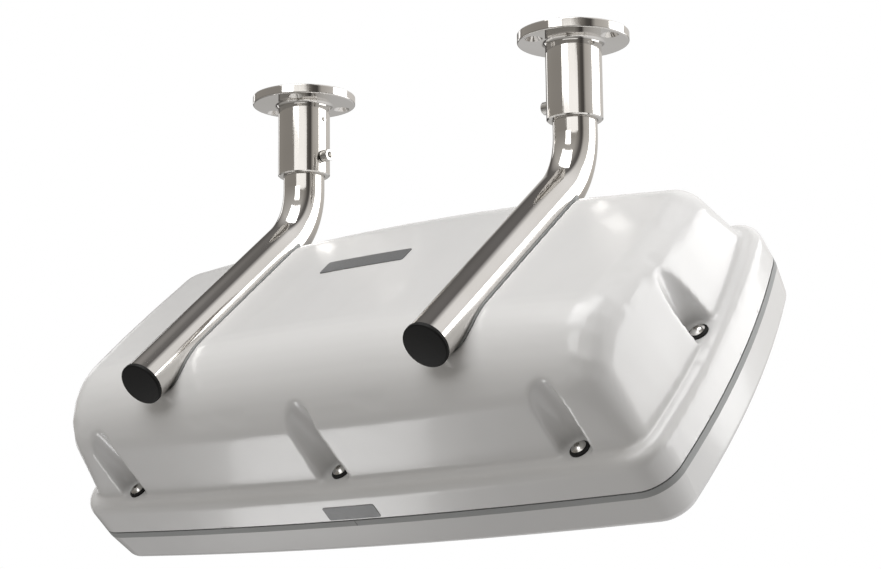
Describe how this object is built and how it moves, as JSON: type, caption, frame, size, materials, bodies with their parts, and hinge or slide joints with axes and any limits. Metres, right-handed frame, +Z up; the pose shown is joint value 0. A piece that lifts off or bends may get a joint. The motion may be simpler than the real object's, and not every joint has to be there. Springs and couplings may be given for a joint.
{
  "type": "overhead instrument pod",
  "caption": "White two-shell marine instrument pod hung under a hardtop by bent polished stainless tubes in flanged socket bases.",
  "frame": {"origin": "midway between the two flange centres, in the overhead face the flanges bolt to", "axes": "+X from the left base to the right base, +Z up into the overhead, the domed back of the pod faces -Y and the instrument face looks away from the viewer and down"},
  "size_m": [0.534, 0.2621, 0.3598],
  "materials": {
    "polished_stainless": "mirror polished stainless steel",
    "screw_stainless": "bright stainless steel",
    "black_plastic": "satin black plastic",
    "white_shell": "gloss thermoformed plastic",
    "grey_silicone": "matte light grey silicone",
    "black_rubber": "matte black rubber",
    "brass": "machined",
    "grey_plate": "plain dark grey print film"
  },
  "bodies": {
    "bases": {"left_base": "polished_stainless", "right_base": "polished_stainless"},
    "hanger": {"left_tube": "polished_stainless", "right_tube": "polished_stainless", "left_end_plug": "black_plastic", "right_end_plug": "black_plastic", "rear_shell": "white_shell", "front_shell": "white_shell", "case_gasket": "grey_silicone", "case_seal": "black_rubber", "case_screws": "screw_stainless", "screw_sealing_washers": "black_rubber", "screw_inserts": "brass", "left_saddle_pad": "grey_silicone", "right_saddle_pad": "grey_silicone", "left_backing_block": "black_plastic", "right_backing_block": "black_plastic", "saddle_bolts": "screw_stainless", "saddle_bolt_washers": "screw_stainless", "tube_rivet_nuts": "screw_stainless", "left_cable_grommet": "black_rubber", "right_cable_grommet": "black_rubber", "blank_badge": "grey_plate", "blank_label": "grey_plate"},
    "left_set_screw": {"left_set_screw": "screw_stainless"},
    "right_set_screw": {"right_set_screw": "screw_stainless"},
    "left_clamp_screw": {"left_clamp_screw": "screw_stainless"},
    "right_clamp_screw": {"right_clamp_screw": "screw_stainless"}
  },
  "joints": [
    {"name": "hanger_height", "type": "slide", "parent": "bases", "child": "hanger", "axis": [0, 0, 1], "range_m": [-0.01, 0]},
    {"name": "left_set_screw_travel", "type": "slide", "parent": "bases", "child": "left_set_screw", "axis": [1, 0, 0], "range_m": [0, 0.003]},
    {"name": "right_set_screw_travel", "type": "slide", "parent": "bases", "child": "right_set_screw", "axis": [-1, 0, 0], "range_m": [0, 0.003]},
    {"name": "left_clamp_screw_travel", "type": "slide", "parent": "bases", "child": "left_clamp_screw", "axis": [1, 0, 0], "range_m": [0, 0.003]},
    {"name": "right_clamp_screw_travel", "type": "slide", "parent": "bases", "child": "right_clamp_screw", "axis": [-1, 0, 0], "range_m": [0, 0.003]}
  ]
}
